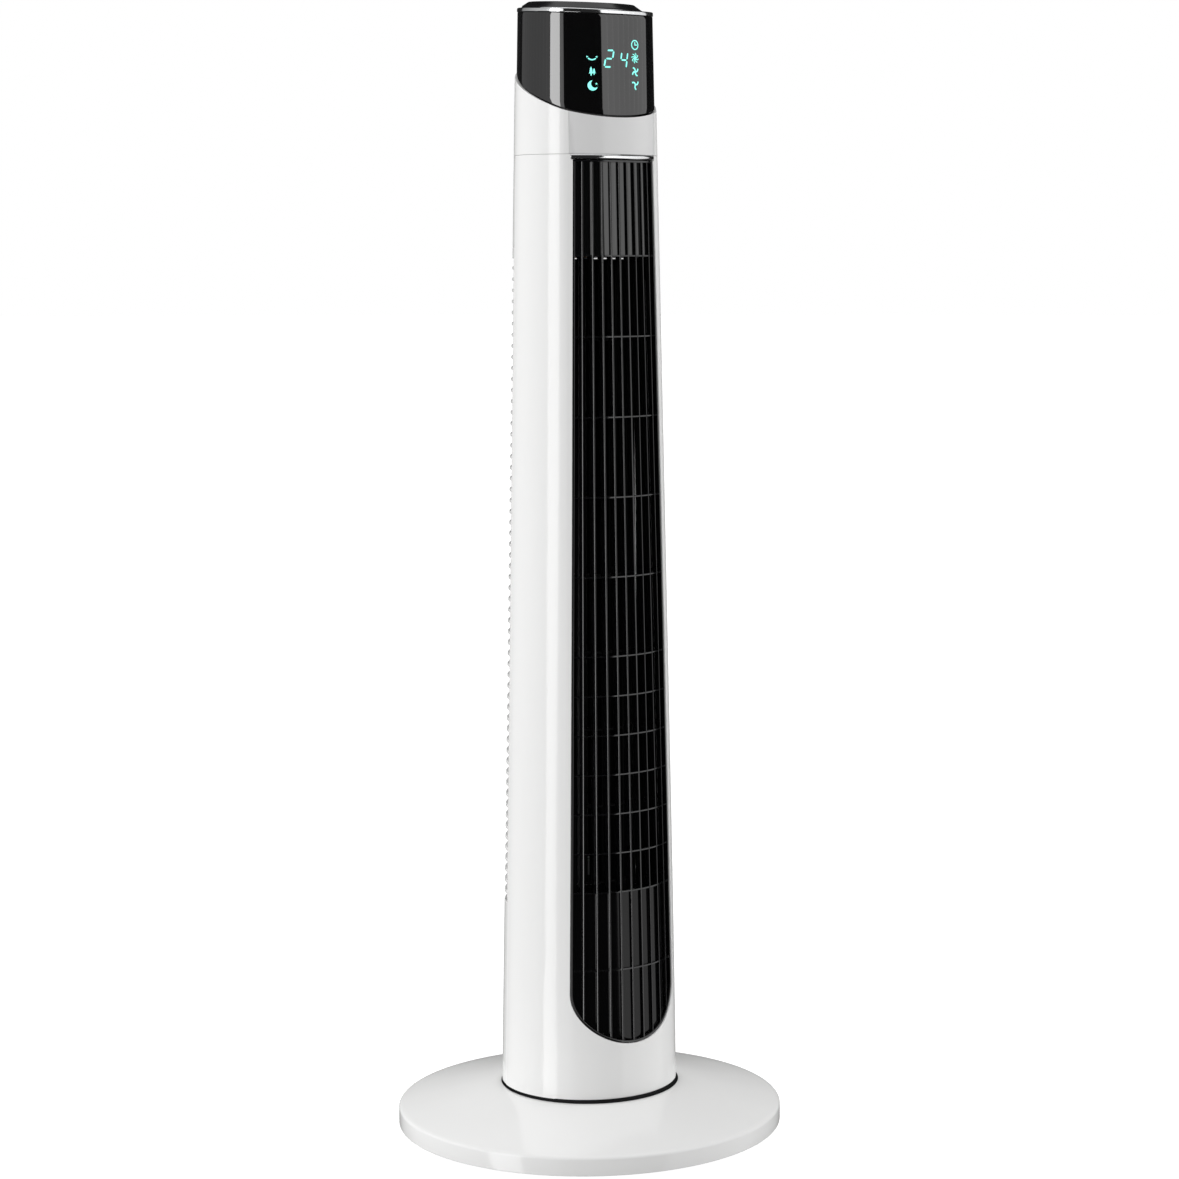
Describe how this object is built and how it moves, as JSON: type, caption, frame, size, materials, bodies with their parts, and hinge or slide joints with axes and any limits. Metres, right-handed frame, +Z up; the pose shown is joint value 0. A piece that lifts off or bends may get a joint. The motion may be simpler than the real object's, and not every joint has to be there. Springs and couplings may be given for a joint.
{
  "type": "tower fan",
  "caption": "Oscillating tower fan: tapered column with a tall finned outlet, slanted display head with push buttons, and a round base.",
  "frame": {"origin": "on the floor at the centre of the base, under the column's turning axis", "axes": "+Z up along the column, -Y towards the air outlet, +X to the right of a person who faces the outlet"},
  "size_m": [0.32, 0.32, 0.9272],
  "materials": {
    "white_gloss": "gloss",
    "black_gloss": "gloss",
    "black_satin": "satin",
    "smoked_lens": "gloss",
    "light_grey": "satin",
    "nylon": "matte",
    "chrome_trim": "polished",
    "bright_steel": "brushed",
    "zinc_steel": "brushed",
    "motor_metal": "satin",
    "cast_aluminium": "satin",
    "bronze": "satin",
    "copper_wire": "lacquered",
    "rubber_black": "matte",
    "board_green": "satin",
    "lit_aqua": "lit"
  },
  "bodies": {
    "base": {"base_cover": "white_gloss", "base_plate": "black_satin", "ballast_ring": "zinc_steel", "base_feet": "rubber_black", "base_screws": "zinc_steel", "pivot_post": "bright_steel", "yoke_arm": "nylon", "bearing_ring": "nylon", "retaining_washer": "zinc_steel", "pivot_nut": "zinc_steel"},
    "tower": {"tower_plate": "black_satin", "pivot_bush": "bronze", "gap_ring": "black_satin", "front_housing": "white_gloss", "rear_housing": "white_gloss", "collar_shell": "white_gloss", "trim_panel": "light_grey", "chrome_strip": "chrome_trim", "front_grille": "black_gloss", "upper_blank": "black_gloss", "lower_blank": "black_gloss", "scroll_wall": "black_satin", "duct_tongue": "black_satin", "duct_top_plate": "black_satin", "duct_bottom_plate": "black_satin", "motor_bracket": "motor_metal", "motor_lower_cover": "motor_metal", "motor_upper_cover": "motor_metal", "stator": "bright_steel", "stator_windings": "copper_wire", "motor_screws": "zinc_steel", "capacitor": "nylon", "power_board": "board_green", "osc_motor": "bright_steel", "bearing_mount": "rubber_black", "bearing_bush": "bronze", "head_housing": "black_gloss", "display_lens": "smoked_lens", "display_board": "board_green", "display_lights": "lit_aqua", "ir_receiver": "black_gloss", "chrome_ring": "chrome_trim", "top_panel": "black_gloss", "button_board": "board_green", "housing_screws": "zinc_steel", "rear_top_cover": "white_gloss", "rear_grip": "black_satin", "cable_gland": "rubber_black"},
    "impeller": {"impeller": "black_satin", "impeller_hub": "cast_aluminium", "motor_shaft": "bright_steel", "upper_axle": "bright_steel", "rotor": "bright_steel"},
    "osc_crank": {"osc_crank": "nylon"},
    "button_power": {"button_power": "black_satin"},
    "button_speed": {"button_speed": "black_satin"},
    "button_timer": {"button_timer": "black_satin"},
    "button_mode": {"button_mode": "black_satin"},
    "button_swing": {"button_swing": "black_satin"}
  },
  "joints": [
    {"name": "oscillation", "type": "hinge", "parent": "base", "child": "tower", "pos_m": [0, 0, 0.04], "axis": [0, 0, 1], "range_deg": [-37.5, 37.5]},
    {"name": "impeller_spin", "type": "hinge", "parent": "tower", "child": "impeller", "pos_m": [0, 0.002, 0.4], "axis": [0, 0, 1], "continuous": true},
    {"name": "crank_turn", "type": "hinge", "parent": "tower", "child": "osc_crank", "pos_m": [0, 0.032, 0.045], "axis": [0, 0, 1], "range_deg": [-127.5, 127.5]},
    {"name": "press_power", "type": "slide", "parent": "tower", "child": "button_power", "axis": [0, 0.0541, -0.9985], "range_m": [0, 0.001], "stiffness_N_per_m": 400},
    {"name": "press_speed", "type": "slide", "parent": "tower", "child": "button_speed", "axis": [0, 0.0541, -0.9985], "range_m": [0, 0.001], "stiffness_N_per_m": 400},
    {"name": "press_timer", "type": "slide", "parent": "tower", "child": "button_timer", "axis": [0, 0.0541, -0.9985], "range_m": [0, 0.001], "stiffness_N_per_m": 400},
    {"name": "press_mode", "type": "slide", "parent": "tower", "child": "button_mode", "axis": [0, 0.0541, -0.9985], "range_m": [0, 0.001], "stiffness_N_per_m": 400},
    {"name": "press_swing", "type": "slide", "parent": "tower", "child": "button_swing", "axis": [0, 0.0541, -0.9985], "range_m": [0, 0.001], "stiffness_N_per_m": 400}
  ],
  "couplings": [
    {"joint": "crank_turn", "follows": "oscillation", "ratio": 3.4}
  ]
}
